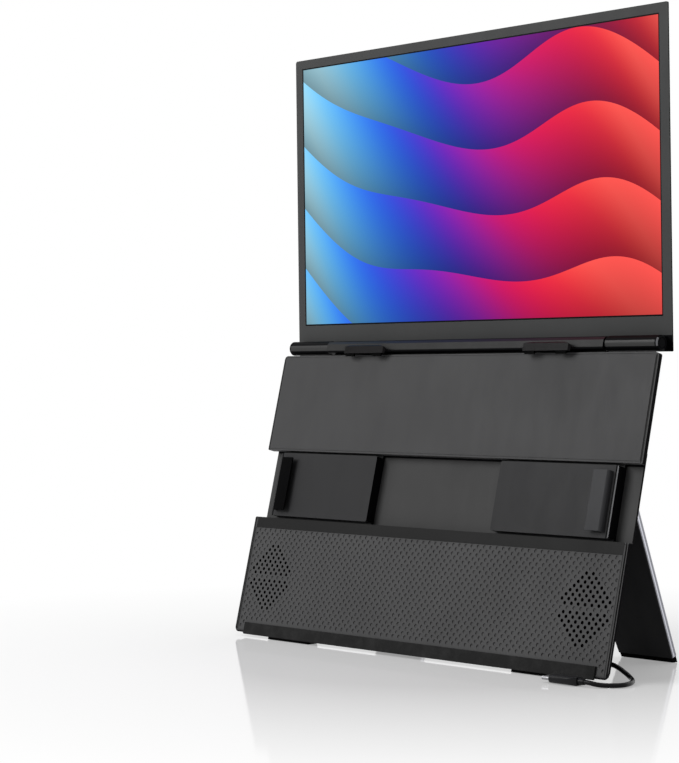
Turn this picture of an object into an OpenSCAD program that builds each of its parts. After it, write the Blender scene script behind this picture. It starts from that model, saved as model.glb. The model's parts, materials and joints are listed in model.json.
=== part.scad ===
// Clip-on second screen for a laptop: an upright base with two sliding jaws,
// a folding stand behind it and a screen on a friction hinge above it.
// All lengths are millimetres, +Z is up and the screen faces -Y.

/* [Base] */
// overall width of the base
base_w = 359; // [344:0.2:372]
// height of the base along its own front face
base_top = 211.2; // [200:0.2:216]
// backward lean of the base from upright, degrees
base_lean = 13.7; // [11:0.1:16]

/* [Screen] */
// overall width of the screen
screen_w = 359; // [350:0.2:368]
// overall height of the screen
screen_h = 222.8; // [210:0.2:228]
// thickness of the screen
screen_t = 4.3; // [4.2:0.1:6]
// width of the picture area
picture_w = 344.2; // [330:0.2:346]
// height of the picture area
picture_h = 193.6; // [180:0.2:195]
// how far the open screen leans forward, degrees
screen_lean = 1; // [0:0.5:4]

/* [Sliding jaws] */
// height of the sliding arm across its travel
arm_h = 47; // [42:0.5:49]
// height of the jaw that grips a laptop lid
jaw_h = 39.2; // [30:0.2:41]
// thickest lid that the jaws take
lid_gap = 3; // [2.8:0.1:3.4]

/* [Stand] */
// width of the folding stand
stand_w = 279.6; // [260:0.2:281]
// length of the stand from its pin to the floor
stand_len = 171.5; // [170:0.5:178]
// thickness of the stand
stand_t = 4.8; // [4:0.1:4.8]

/* [Sound grille] */
// diameter of each sound hole
sound_hole_d = 2.4; // [1.8:0.1:2.6]
// distance between rows of sound holes
row_step = 2.84; // [2.8:0.02:2.9]

/* [Lead] */
// diameter of the short lead
lead_d = 3; // [2.6:0.1:3.4]

/* [Hidden] */
$fn = 48;
eps = 0.01;
// moves the origin under the middle of the standing part
depth_shift = 58.6;
base_x = base_w / 2;
skin = 2;
cover_t = 5;
plate_x = base_x - 3.7;
side_x = base_x - 5.1;
tub_front = base_x - 4.3;
tub_back = base_x - 12.3;
bay_front = tub_front - 2.4;
bay_back = bay_front - 4.4;
board_x = side_x - 6.8;
back_bottom = 5;
back_top = base_top - 2.2;
back_t = 13;
foot_edge = 3;
bar_x = 168.8;
slot_low = 88.6;
slot_high = 139;
strip_low = slot_low - 7.9;
recess_d = 11.2;
inner_d = 9.4;

// screen hinge, in base coordinates
hinge_v = base_top + 6.3;
hinge_d = 3;
// the barrel is set off from its shaft towards the screen
barrel_d = 10.4;
barrel_set = 2;
barrel_in = 133.7;
barrel_out = 177.2;
shaft_d = 4;
shaft_in = 112;
shaft_out = 172;
// half height of the neck that joins the barrel to the screen
neck_h = 4.3;
rail_x = 133.2;
rail_s = 8.2;
glass_back = 9.5;
screen_low = -5.5;
screen_x = screen_w / 2;
screen_up = screen_low + screen_h;
picture_low = 17.2;

// stand hinge, in base coordinates
stand_v = 168;
stand_d = 14;
stand_x = stand_w / 2;
bracket_in = 88;
bracket_out = 122;
ear_t = 4;
pin_d = 3;
stand_hinge_z = stand_v * cos(base_lean) - stand_d * sin(base_lean);
stand_out = acos(stand_hinge_z / stand_len);

// sliding arms
arm_in = 60;
arm_out = 162.3;
arm_face = -0.4;
flange_front = 5.2;
flange_back = 7.2;
arm_mid = (slot_low + slot_high) / 2;
jaw_out = 158;
jaw_in = 145;
jaw_lip = 1.1;
jaw_face = arm_face - lid_gap - jaw_lip;

// sound holes: rows counted from the middle of each diamond
sound_x = 151.5;
sound_v = 44.9;
sound_rows = 8;

// ports and buttons on the left edge
port_v = [158, 169.5, 182];
port_w = [9, 9, 11.4];
button_v = [34, 46, 58];
// upright lands in the left edge, for the sockets and for the buttons
port_land = [147, 190.5];
button_land = [25.5, 66.5];
screw_spots = [[165, 12], [165, 76], [165, 151], [165, 202], [70, 202]];

// hooks over the lid
hook_x = 88;
hook_w = 44;

// lead, in room coordinates before the origin is moved
lead_exit = 164;
lead_y = 19.8;
lead_z = 9.6;
lead_sides = 8;
lead_path = [
  [164, 19.8, 9.6], [166, 19.8, 9.6], [169, 20, 8.9], [172, 20.5, 7.6],
  [175, 20.9, 5.9], [178, 21.1, 4.2], [181, 20.3, 2.8], [184, 18.3, 2],
  [187, 15.2, 1.7], [189.6, 11.4, 1.6], [191.8, 7.2, 1.6], [193.2, 3, 1.6],
  [193.8, -1, 1.6], [193, -4.8, 1.6], [191, -8, 1.6], [188.4, -10.6, 1.6],
  [185.4, -12.8, 1.75], [182.2, -14.8, 2.2], [179.4, -15.7, 2.7], [177, -16, 2.9],
  [175.5, -16, 2.9]
];
plug_y = -16;
plug_z = 2.9;
plug_back = 171;

// ---------- placing and drawing helpers ----------

module on_base() {
  translate([0, -depth_shift, 0])
    rotate([-base_lean, 0, 0])
      children();
}

module on_screen() {
  on_base()
    translate([0, hinge_d, hinge_v])
      rotate([base_lean + screen_lean, 0, 0])
        children();
}

module on_stand() {
  on_base()
    translate([0, stand_d, stand_v])
      rotate([base_lean + stand_out, 0, 0])
        children();
}

module on_floor() {
  translate([0, -depth_shift, 0])
    children();
}

// a drawing in width and height, thickened from depth a to depth b
module slab(a, b) {
  translate([0, b, 0])
    rotate([90, 0, 0])
      linear_extrude(b - a)
        children();
}

// a drawing in depth and height, run along the width from a to b
module run_x(a, b) {
  translate([a, 0, 0])
    rotate([90, 0, 90])
      linear_extrude(b - a)
        children();
}

module rod(a, b, d) {
  translate([a, 0, 0])
    rotate([0, 90, 0])
      cylinder(h = b - a, d = d);
}

module block(x0, x1, y0, y1, z0, z1) {
  translate([x0, y0, z0])
    cube([x1 - x0, y1 - y0, z1 - z0]);
}

module box2(x0, x1, y0, y1) {
  translate([x0, y0])
    square([x1 - x0, y1 - y0]);
}

module round_box2(x0, x1, y0, y1, r) {
  box2(x0 + r, x1 - r, y0, y1);
  box2(x0, x1, y0 + r, y1 - r);
  for (x = [x0 + r, x1 - r])
    for (y = [y0 + r, y1 - r])
      translate([x, y])
        circle(r);
}

module both_sides() {
  children();
  mirror([1, 0, 0])
    children();
}

// ---------- base housing ----------

module rear_shell_outline() {
  intersection() {
    linear_extrude(300)
      polygon([
        [-tub_front, cover_t], [tub_front, cover_t],
        [tub_back, back_t], [-tub_back, back_t]
      ]);
    run_x(-200, 200)
      polygon([
        [cover_t, back_bottom], [9, back_bottom], [back_t, back_bottom + 4.5],
        [back_t, back_top - 4.5], [9, back_top], [cover_t, back_top]
      ]);
    slab(0, 20)
      round_box2(-tub_front, tub_front, back_bottom, back_top, 5);
  }
}

// hollow behind one of the front covers, with walls that slant as the tub does
module bay(low, high) {
  translate([0, 0, low])
    linear_extrude(high - low)
      polygon([
        [-bay_front, 0], [bay_front, 0], [bay_front, cover_t], [bay_back, inner_d],
        [-bay_back, inner_d], [-bay_front, cover_t]
      ]);
}

// upright land in the left edge, behind the sockets or the buttons
module edge_land(span) {
  translate([0, 0, span[0]])
    linear_extrude(span[1] - span[0])
      polygon([
        [-side_x, cover_t], [-side_x, inner_d], [-side_x + 1.8, inner_d + 1.8],
        [-bay_back, inner_d + 1.8], [-bay_back, cover_t]
      ]);
}

// a ring of even width inside an outline, for the fine line along a cover's edge
module rim_line() {
  slab(-1, 0.3)
    difference() {
      offset(delta = -1)
        children();
      offset(delta = -1.5)
        children();
    }
}

module screw_bore(x, v, d, a, b) {
  translate([x, b, v])
    rotate([90, 0, 0])
      cylinder(h = b - a, d = d);
}

module rear_cover() {
  color([0.22, 0.22, 0.24])
    on_base()
      difference() {
        union() {
          difference() {
            union() {
              rear_shell_outline();
              edge_land(button_land);
              edge_land(port_land);
              // floor of the channel for the sliding arms
              block(-plate_x, plate_x, 7.4, 9, slot_low + 0.9, slot_high + 8);
            }
            // lower and upper bays
            bay(back_bottom + 2.5, slot_low - 6.5);
            bay(slot_high + 6.4, back_top - 2.5);
            for (span = [button_land, port_land]) {
              block(-200, -side_x, 0, 20, span[0], span[1]);
              block(-side_x + 1.5, -160, 0, inner_d, span[0] + 1.5, span[1] - 1.5);
            }
            // channel for the sliding arms
            block(-200, 200, 0, 7.4, slot_low - 4, slot_high + 4);
            // recess that the stand folds into
            slab(recess_d, 20)
              round_box2(-141.6, 141.6, -20, stand_v + 14, 4);
          }
          for (s = screw_spots)
            for (side = [-1, 1])
              screw_bore(side * s[0], s[1], 7, cover_t, inner_d + eps);
          // posts under the controller board
          for (x = [-160, -60])
            for (v = [153, 196])
              screw_bore(x, v, 5, 7.2, inner_d + eps);
        }
        for (s = screw_spots)
          for (side = [-1, 1]) {
            screw_bore(side * s[0], s[1], 2.2, 0, 20);
            screw_bore(side * s[0], s[1], 5.2, 11, 20);
          }
        // openings for the sockets and buttons in the left edge
        for (i = [0, 1, 2])
          block(-side_x - 1, -side_x + 3, 0, 8.7, port_v[i] - port_w[i] / 2, port_v[i] + port_w[i] / 2);
        for (v = button_v)
          block(-side_x - 1, -side_x + 3, 0, 8.6, v - 4.2, v + 4.2);
      }
}

module front_screw_posts(low, high) {
  for (s = screw_spots)
    if (s[1] > low && s[1] < high)
      for (side = [-1, 1])
        difference() {
          screw_bore(side * s[0], s[1], 7, skin - eps, cover_t);
          screw_bore(side * s[0], s[1], 2.1, skin + 0.6, 20);
        }
}

module upper_outline() {
  round_box2(-base_x, base_x, slot_high + 20, base_top, 3);
  round_box2(-base_x, base_x, slot_high, base_top - 20, 1.2);
}

module upper_front_cover() {
  color([0.30, 0.30, 0.32])
    on_base() {
      difference() {
        intersection() {
          slab(0, cover_t)
            upper_outline();
          linear_extrude(300)
            polygon([
              [-base_x, 0], [base_x, 0], [base_x, 4.3], [base_x - 0.7, cover_t],
              [-base_x + 0.7, cover_t], [-base_x, 4.3]
            ]);
        }
        rim_line()
          upper_outline();
        block(-base_x + 5.2, base_x - 5.2, skin, 20, slot_high + 6.4, base_top - 4.2);
      }
      front_screw_posts(slot_high, base_top);
    }
}

module sound_holes() {
  for (row = [1 : sound_rows])
    for (up = [-1, 1]) {
      reach = row < 2 ? 6 : 9 - row;
      for (k = [-reach : 2 : reach])
        translate([sound_x + k * row_step, sound_v + up * row * row_step])
          circle(d = sound_hole_d, $fn = 24);
    }
}

module lower_outline() {
  round_box2(-base_x, base_x, foot_edge, 60, 4);
  round_box2(-base_x, base_x, 40, slot_low, 1.2);
}

module lower_grille_cover() {
  color([0.26, 0.26, 0.28])
    on_base() {
      difference() {
        // the sides slant inwards from a thin edge
        intersection() {
          slab(0, cover_t)
            lower_outline();
          linear_extrude(300)
            polygon([
              [-base_x, 0], [base_x, 0], [base_x, 1.2], [base_x - 3.6, cover_t],
              [-base_x + 3.6, cover_t], [-base_x, 1.2]
            ]);
        }
        rim_line()
          lower_outline();
        // shallow field that carries the dimples
        slab(-1, 0.3)
          box2(-base_x + 2.2, base_x - 2.2, foot_edge + 2, strip_low);
        // seat of the smooth strip
        block(-base_x + 3.2, base_x - 3.2, -1, 1.4, strip_low, slot_low + 1);
        block(-base_x + 5.2, base_x - 5.2, skin, 20, back_bottom + 2.5, slot_low - 6.5);
        slab(-1, 4)
          both_sides()
            sound_holes();
      }
      front_screw_posts(0, slot_low);
    }
}

module trim_strip() {
  color([0.13, 0.13, 0.14])
    on_base()
      block(-base_x + 3.2, base_x - 3.2, 0, 1.4, strip_low, slot_low);
}

module bumper_bar() {
  color([0.07, 0.07, 0.07])
    on_base() {
      block(-bar_x, bar_x, -1.2, 0, 1.8, 10.4);
      block(-bar_x, bar_x, -eps, 0.3, foot_edge + 2, 10.4);
    }
}

module base_feet() {
  color([0.05, 0.05, 0.05])
    difference() {
      on_base()
        both_sides() {
          run_x(98, 142)
            polygon([
              [0.6, -6], [9, -6], [9, back_bottom], [cover_t, back_bottom],
              [cover_t, foot_edge], [0.6, foot_edge]
            ]);
        }
      block(-400, 400, -400, 400, -40, 0);
    }
}

// ---------- hinge rail and hooks ----------

module rail_section() {
  h = rail_s / 2;
  intersection() {
    round_box2(-h, h, -h, h, 1.6);
    // the upper front edge slants back
    polygon([[-h, -h], [h, -h], [h, h], [-h + 1.6, h], [-h, h - 2.2]]);
  }
}

module hinge_rail() {
  color([0.34, 0.34, 0.36])
    on_base()
      difference() {
        union() {
          translate([0, hinge_d, hinge_v])
            run_x(-rail_x, rail_x)
              rail_section();
          block(-rail_x + 3, rail_x - 3, cover_t + 0.05, hinge_d + rail_s / 2, back_top, hinge_v - 2);
        }
        both_sides()
          translate([0, hinge_d, hinge_v])
            rod(shaft_in, rail_x + 1, shaft_d);
      }
}

module hook(side) {
  color([0.20, 0.20, 0.22])
    on_base()
      translate([side * hook_x, 0, 0])
        intersection() {
          run_x(-hook_w / 2, hook_w / 2)
            polygon([
              [-6, hinge_v - 6.3], [-4.7, hinge_v - 6.3], [-4.7, hinge_v - 3.6],
              [hinge_d - rail_s / 2, hinge_v - 3.6], [hinge_d - rail_s / 2, hinge_v - 0.2],
              [-5.2, hinge_v - 0.2], [-6, hinge_v - 1]
            ]);
          // slanted ends at the front
          translate([0, 0, 150])
            linear_extrude(100)
              polygon([
                [-hook_w / 2, 5], [-hook_w / 2, -4], [-hook_w / 2 + 2, -6],
                [hook_w / 2 - 2, -6], [hook_w / 2, -4], [hook_w / 2, 5]
              ]);
          // cut upper corners
          slab(-10, 10)
            polygon([
              [-hook_w / 2, 200], [hook_w / 2, 200], [hook_w / 2, hinge_v - 3.4],
              [hook_w / 2 - 3.2, hinge_v], [-hook_w / 2 + 3.2, hinge_v],
              [-hook_w / 2, hinge_v - 3.4]
            ]);
        }
}

module hook_pads() {
  color([0.04, 0.04, 0.04])
    on_base()
      for (side = [-1, 1])
        for (x = [-14, 14])
          translate([side * hook_x + x, 0, 0]) {
            block(-4.5, 4.5, -5.8, -4.3, hinge_v - 8.2, hinge_v - 6.3);
            block(-4.5, 4.5, -4.7, -4.3, hinge_v - 6.3 - eps, hinge_v - 4.2);
          }
}

module hinge_shaft(side) {
  color([0.62, 0.62, 0.64])
    on_base()
      translate([0, hinge_d, hinge_v])
        mirror([side < 0 ? 1 : 0, 0, 0])
          rod(shaft_in, shaft_out, shaft_d);
}

// ---------- sound and electronics ----------

module speaker(side) {
  color([0.10, 0.10, 0.11])
    on_base()
      mirror([side < 0 ? 1 : 0, 0, 0])
        difference() {
          slab(3.2, inner_d - 0.2)
            round_box2(131, 167.2, 21, 69, 6);
          translate([149.5, 3.1, 45])
            rotate([-90, 0, 0])
              cylinder(h = 2.1, d1 = 33, d2 = 24);
          translate([149.5, 0, 45])
            rotate([-90, 0, 0])
              cylinder(h = 6.2, d = 11);
        }
}

module grille_cloths() {
  color([0.05, 0.05, 0.05])
    on_base()
      slab(skin, skin + 0.5)
        both_sides()
          round_box2(129, 173, 19, 71, 3);
}

module controller_board() {
  color([0.08, 0.30, 0.16])
    on_base() {
      slab(6, 7.2)
        difference() {
          box2(-board_x, -52, 148, 204);
          // room for the screw posts
          for (s = [[-165, 151], [-165, 202], [-70, 202]])
            translate(s)
              circle(d = 8.4);
        }
      block(-130, -114, 4.6, 6, 168, 184);
      block(-104, -94, 4.9, 6, 170, 180);
      block(-84, -64, 4.4, 6, 158, 164);
    }
}

module socket_shell(v, w) {
  difference() {
    oval_x(-side_x + 0.1, -side_x + 6.8, v, w, 0);
    oval_x(-side_x - 1, -side_x + 6, v, w, 0.45);
  }
}

// a flat oval run along the width, centred on the sockets' depth
module oval_x(a, b, v, w, inset) {
  h = 3.2 - 2 * inset;
  l = w - 0.3 - 2 * inset;
  run_x(a, b)
    translate([6.9, v])
      round_box2(-h / 2, h / 2, -l / 2, l / 2, h / 2 - 0.05);
}

module usb_c_sockets() {
  color([0.66, 0.66, 0.68])
    on_base()
      difference() {
        for (i = [0, 1])
          union() {
            socket_shell(port_v[i], port_w[i]);
            block(-side_x + 1.6, -side_x + 6.1, 6.6, 7.2, port_v[i] - 3, port_v[i] + 3);
          }
        // the board lies inside the back of each socket
        block(-board_x - 0.1, -100, 5.95, 7.25, 140, 210);
      }
}

module mini_hdmi_socket() {
  color([0.60, 0.60, 0.62])
    on_base()
      difference() {
        union() {
          socket_shell(port_v[2], port_w[2]);
          block(-side_x + 1.6, -side_x + 6.1, 6.6, 7.2, port_v[2] - 4, port_v[2] + 4);
        }
        block(-board_x - 0.1, -100, 5.95, 7.25, 140, 210);
      }
}

module button_board() {
  color([0.08, 0.30, 0.16])
    on_base() {
      block(-side_x + 5.8, -side_x + 6.9, 5.3, inner_d, 27.5, 64.5);
      for (v = button_v)
        block(-side_x + 5.2, -side_x + 5.8 + eps, 6, 8.4, v - 2, v + 2);
    }
}

module push_button(v) {
  color([0.12, 0.12, 0.13])
    on_base() {
      block(-side_x - 1, -side_x + 2.7, 5.4, 8.2, v - 3.8, v + 3.8);
      block(-side_x + 2.7 - eps, -side_x + 3.9, 5.4, 8.2, v - 5.2, v + 5.2);
    }
}

module rear_screws() {
  color([0.50, 0.50, 0.52])
    on_base()
      for (s = screw_spots)
        for (side = [-1, 1])
          difference() {
            union() {
              screw_bore(side * s[0], s[1], 2, 3, 11 + eps);
              screw_bore(side * s[0], s[1], 4.6, 11, 12.6);
            }
            // six-sided drive
            translate([side * s[0], 12.7, s[1]])
              rotate([90, 0, 0])
                cylinder(h = 1, d = 2, $fn = 6);
          }
}

// ---------- folding stand ----------

module stand_brackets() {
  color([0.30, 0.30, 0.32])
    on_base()
      both_sides()
        difference() {
          union() {
            block(bracket_in, bracket_out, recess_d, 13, stand_v + 3.5, stand_v + 11);
            for (x = [bracket_in, bracket_out - ear_t]) {
              translate([0, stand_d, stand_v])
                rod(x, x + ear_t, 5.6);
              block(x, x + ear_t, recess_d, stand_d, stand_v - 2.8, stand_v + 11);
              block(x, x + ear_t, recess_d, stand_d + 2.8, stand_v, stand_v + 8);
            }
          }
          translate([0, stand_d, stand_v])
            rod(bracket_in - 8, bracket_out + 8, pin_d);
        }
}

module stand_pins() {
  color([0.62, 0.62, 0.64])
    on_base()
      both_sides()
        translate([0, stand_d, stand_v])
          rod(bracket_in, bracket_out, pin_d);
}

module stand_outline() {
  difference() {
    union() {
      round_box2(-stand_x, stand_x, -stand_len + 34, 0, 3);
      box2(-stand_x, stand_x, -stand_len + 4, -stand_len + 40);
    }
    // opening between the two legs
    offset(r = 12)
      polygon([
        [-87, -stand_len - 40], [87, -stand_len - 40],
        [75, -stand_len + 66], [-75, -stand_len + 66]
      ]);
  }
}

module stand_liner_outline() {
  intersection() {
    offset(delta = -0.9)
      stand_outline();
    box2(-stand_x, stand_x, -stand_len, -7);
  }
}

module stand_plate() {
  color([0.45, 0.45, 0.50])
    on_stand()
      difference() {
        union() {
          slab(-stand_t / 2, stand_t / 2)
            stand_outline();
          rod(-stand_x, stand_x, stand_t);
        }
        // gaps for the bracket ears
        both_sides()
          for (x = [bracket_in, bracket_out - ear_t])
            block(x - 0.5, x + ear_t + 0.5, -10, 10, -5, 5);
        both_sides()
          rod(bracket_in + ear_t, bracket_out - ear_t, pin_d + 0.1);
        slab(-5, -stand_t / 2 + 0.6)
          stand_liner_outline();
      }
}

module stand_liner() {
  color([0.08, 0.08, 0.09])
    on_stand()
      slab(-stand_t / 2, -stand_t / 2 + 0.6)
        stand_liner_outline();
}

module stand_feet() {
  color([0.05, 0.05, 0.05])
    difference() {
      on_stand()
        both_sides()
          slab(-stand_t / 2, stand_t / 2)
            polygon([
              [94.8, -stand_len + 4], [stand_x - 0.4, -stand_len + 4],
              [stand_x - 0.4, -stand_len - 12], [96.6, -stand_len - 12]
            ]);
      block(-400, 400, -400, 400, -40, 0);
    }
}

// ---------- sliding arms, drawn for the right side ----------

module arm_slider(side) {
  color([0.09, 0.09, 0.10])
    on_base()
      mirror([side < 0 ? 1 : 0, 0, 0])
        difference() {
          union() {
            block(arm_in, arm_out, flange_front, flange_back, slot_low - 3.5, slot_high + 3.4);
            slab(arm_face, flange_front + eps)
              round_box2(arm_in, arm_out, arm_mid - arm_h / 2, arm_mid + arm_h / 2, 1.5);
          }
          block(arm_in + 5, arm_out - 7, 1.6, 20, arm_mid - arm_h / 2 + 4, arm_mid + arm_h / 2 - 4);
          // groove across the front, near the outer end
          block(arm_out - 2.2, arm_out - 1, arm_face - 1, arm_face + 0.6, arm_mid - arm_h, arm_mid + arm_h);
        }
}

module jaw(side) {
  color([0.24, 0.24, 0.26])
    on_base()
      mirror([side < 0 ? 1 : 0, 0, 0])
        translate([0, 0, arm_mid - jaw_h / 2])
          linear_extrude(jaw_h)
            difference() {
              union() {
                box2(jaw_out - 2.6, jaw_out, jaw_face + 2, arm_face);
                box2(jaw_in + jaw_lip / 2, jaw_out - 2, jaw_face, jaw_face + jaw_lip);
                translate([jaw_out - 2, jaw_face + 2])
                  circle(2);
                translate([jaw_in + jaw_lip / 2, jaw_face + jaw_lip / 2])
                  circle(jaw_lip / 2);
              }
              box2(jaw_in + jaw_lip / 2, jaw_out - 2.6, jaw_face + jaw_lip, arm_face + 1);
            }
}

module jaw_pad(side) {
  color([0.04, 0.04, 0.04])
    on_base()
      mirror([side < 0 ? 1 : 0, 0, 0])
        translate([0, 0, arm_mid - jaw_h / 2 + 1.5])
          block(jaw_out - 5.8, jaw_out - 2.6, jaw_face + jaw_lip, arm_face, 0, jaw_h - 3);
}

// ---------- screen ----------

module hinge_barrel(side) {
  color([0.20, 0.20, 0.22])
    on_screen()
      mirror([side < 0 ? 1 : 0, 0, 0])
        difference() {
          union() {
            translate([0, barrel_set, 0])
              rod(barrel_in, barrel_out - 2, barrel_d);
            block(barrel_in, barrel_out - 2, barrel_set, glass_back, -neck_h, neck_h);
          }
          rod(barrel_in - 1, barrel_out - 3.5, shaft_d + 0.1);
        }
}

module barrel_end_caps() {
  color([0.26, 0.26, 0.28])
    on_screen()
      both_sides()
        translate([0, barrel_set, 0])
          difference() {
            union() {
              rod(barrel_out - 2, barrel_out - 1, barrel_d);
              translate([barrel_out - 1 - eps, 0, 0])
                rotate([0, 90, 0])
                  cylinder(h = 1 + eps, d1 = barrel_d, d2 = barrel_d - 1.6);
            }
            // ring groove in the end face
            difference() {
              rod(barrel_out - 0.5, barrel_out + 1, 7.4);
              rod(barrel_out - 1, barrel_out + 2, 6.2);
            }
          }
}

module screen_outline() {
  round_box2(-screen_x, screen_x, screen_low, screen_up - 20, 1);
  round_box2(-screen_x, screen_x, screen_low + 20, screen_up, 1.8);
}

// the back slants in from a thin edge on all four sides
module screen_back_form() {
  g = glass_back;
  intersection() {
    slab(g + 0.8, g + screen_t)
      screen_outline();
    translate([0, 0, screen_low - 1])
      linear_extrude(screen_h + 2)
        polygon([
          [-screen_x, g], [screen_x, g], [screen_x, g + 0.9], [screen_x - 3.6, g + screen_t],
          [-screen_x + 3.6, g + screen_t], [-screen_x, g + 0.9]
        ]);
    run_x(-200, 200)
      polygon([
        [g, screen_low], [g + 0.9, screen_low], [g + screen_t, screen_low + 2.4],
        [g + screen_t, screen_up - 2.4], [g + 0.9, screen_up], [g, screen_up]
      ]);
  }
}

module screen_bezel() {
  color([0.24, 0.24, 0.26])
    on_screen()
      slab(glass_back, glass_back + 0.8)
        difference() {
          screen_outline();
          box2(-picture_w / 2, picture_w / 2, picture_low, picture_low + picture_h);
        }
}

module screen_back_cover() {
  color([0.20, 0.20, 0.22])
    on_screen()
      difference() {
        screen_back_form();
        slab(glass_back, glass_back + screen_t - 1)
          round_box2(-screen_x + 4, screen_x - 4, screen_low + 3, screen_up - 3, 1);
      }
}

module display_panel() {
  color([0.20, 0.34, 0.72])
    on_screen() {
      slab(glass_back + 0.8, glass_back + screen_t - 1)
        box2(-picture_w / 2 - 3, picture_w / 2 + 3, picture_low - 4, picture_low + picture_h + 3);
      slab(glass_back + 0.25, glass_back + 0.8 + eps)
        box2(-picture_w / 2, picture_w / 2, picture_low, picture_low + picture_h);
    }
}

module display_board() {
  color([0.08, 0.30, 0.16])
    on_screen() {
      slab(glass_back + 1.6, glass_back + 2.6)
        box2(-100, 100, screen_low + 3.3, picture_low - 5);
      for (x = [-70, -20, 40])
        block(x, x + 12, glass_back + 2.6 - eps, glass_back + screen_t - 1, 2, 9);
    }
}

// ---------- lead and plug ----------

module lead_gland() {
  color([0.10, 0.10, 0.11])
    on_base()
      difference() {
        slab(back_t, 20.6)
          round_box2(143, 154, 8.6, 19.4, 2);
        block(140, 160, 18.6, 30, 0, 9.6);
      }
}

module lead_relief() {
  color([0.06, 0.06, 0.06])
    on_floor()
      translate([154, lead_y, lead_z])
        rotate([0, 90, 0])
          cylinder(h = lead_exit - 154, d1 = 6, d2 = 3.8);
}

// ring of points round one place on the lead, square to its run
function unit(v) = v / norm(v);
function run_at(p, i) =
  unit(p[min(i + 1, len(p) - 1)] - p[max(i - 1, 0)]);
function ring_at(p, i, r, n) =
  let (t = run_at(p, i), s = unit(cross(t, [0, 0, 1])), u = cross(s, t))
  [for (k = [0 : n - 1]) p[i] + r * (cos(360 * k / n) * s + sin(360 * k / n) * u)];

module swept_lead(p, r, n) {
  rings = len(p);
  points = [for (i = [0 : rings - 1]) for (q = ring_at(p, i, r, n)) q];
  walls = [
    for (i = [0 : rings - 2])
      for (k = [0 : n - 1])
        [i * n + k, i * n + (k + 1) % n, (i + 1) * n + (k + 1) % n, (i + 1) * n + k]
  ];
  first = [for (k = [n - 1 : -1 : 0]) k];
  last = [for (k = [0 : n - 1]) (rings - 1) * n + k];
  polyhedron(points = points, faces = concat([first], walls, [last]), convexity = 4);
}

module lead() {
  color([0.05, 0.05, 0.05])
    on_floor()
      swept_lead(lead_path, lead_d / 2, lead_sides);
}

module plug_boot() {
  color([0.06, 0.06, 0.06])
    on_floor()
      translate([plug_back, plug_y, plug_z])
        rotate([0, 90, 0])
          cylinder(h = 4.5, d1 = 4.8, d2 = 3.6);
}

module plug_body() {
  color([0.14, 0.14, 0.15])
    on_floor()
      translate([0, plug_y, plug_z])
        intersection() {
          run_x(plug_back - 21, plug_back)
            round_box2(-5, 5, -2.6, 2.6, 2.2);
          // shoulders that narrow towards the lead
          translate([plug_back, 0, -5])
            linear_extrude(10)
              polygon([
                [-21, -5], [-6, -5], [-2, -4], [0, -3],
                [0, 3], [-2, 4], [-6, 5], [-21, 5]
              ]);
        }
}

module plug_tongue() {
  color([0.66, 0.66, 0.68])
    on_floor()
      translate([0, plug_y, plug_z])
        run_x(plug_back - 27.5, plug_back - 21)
          difference() {
            round_box2(-4.15, 4.15, -1.2, 1.2, 1.15);
            round_box2(-3.75, 3.75, -0.8, 0.8, 0.75);
          }
}

// ---------- nodes ----------

rear_cover();
upper_front_cover();
lower_grille_cover();
trim_strip();
bumper_bar();
base_feet();
hinge_rail();
hook(-1);  // left_hook
hook(1);  // right_hook
hook_pads();
hinge_shaft(-1);  // left_hinge_shaft
hinge_shaft(1);  // right_hinge_shaft
speaker(-1);  // left_speaker
speaker(1);  // right_speaker
grille_cloths();
controller_board();
usb_c_sockets();
mini_hdmi_socket();
button_board();
rear_screws();
stand_brackets();
stand_pins();
lead_gland();
lead_relief();
lead();
plug_boot();
plug_body();
plug_tongue();
screen_back_cover();
screen_bezel();
display_panel();
display_board();
hinge_barrel(-1);  // left_hinge_barrel
hinge_barrel(1);  // right_hinge_barrel
barrel_end_caps();
arm_slider(-1);  // left_arm_slider
arm_slider(1);  // right_arm_slider
jaw(-1);  // left_jaw
jaw(1);  // right_jaw
jaw_pad(-1);  // left_jaw_pad
jaw_pad(1);  // right_jaw_pad
stand_plate();
stand_liner();
stand_feet();
push_button(button_v[0]);  // power_button
push_button(button_v[1]);  // menu_up_button
push_button(button_v[2]);  // menu_down_button
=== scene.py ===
import json
import math
import bpy
import bmesh
from mathutils import Matrix, Vector
from mathutils.geometry import delaunay_2d_cdt


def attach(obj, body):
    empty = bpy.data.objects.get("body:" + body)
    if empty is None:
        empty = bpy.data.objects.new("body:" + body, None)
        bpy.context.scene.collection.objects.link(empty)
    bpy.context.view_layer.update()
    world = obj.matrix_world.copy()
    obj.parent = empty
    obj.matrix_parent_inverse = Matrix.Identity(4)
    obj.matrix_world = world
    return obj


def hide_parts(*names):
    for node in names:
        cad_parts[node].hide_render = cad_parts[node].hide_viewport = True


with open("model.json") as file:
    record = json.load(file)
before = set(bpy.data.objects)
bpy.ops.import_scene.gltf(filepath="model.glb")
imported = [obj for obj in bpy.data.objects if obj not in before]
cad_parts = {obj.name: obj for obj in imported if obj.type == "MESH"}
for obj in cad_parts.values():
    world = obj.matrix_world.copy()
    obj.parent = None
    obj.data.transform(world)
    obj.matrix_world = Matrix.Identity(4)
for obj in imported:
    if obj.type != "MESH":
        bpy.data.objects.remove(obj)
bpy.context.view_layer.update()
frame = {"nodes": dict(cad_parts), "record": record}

# A clip-on second screen for a laptop. Its CAD solids get rounded edges, fine details and
# their finishes. Lengths are in millimetres, and MM turns them to metres for Blender.
MM = 0.001
nodes = frame["nodes"]
record = frame["record"]

# ---------- the object's own places, as in its source ----------
# On the base, x runs across it, d back from its front face and v up along that face.

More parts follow.
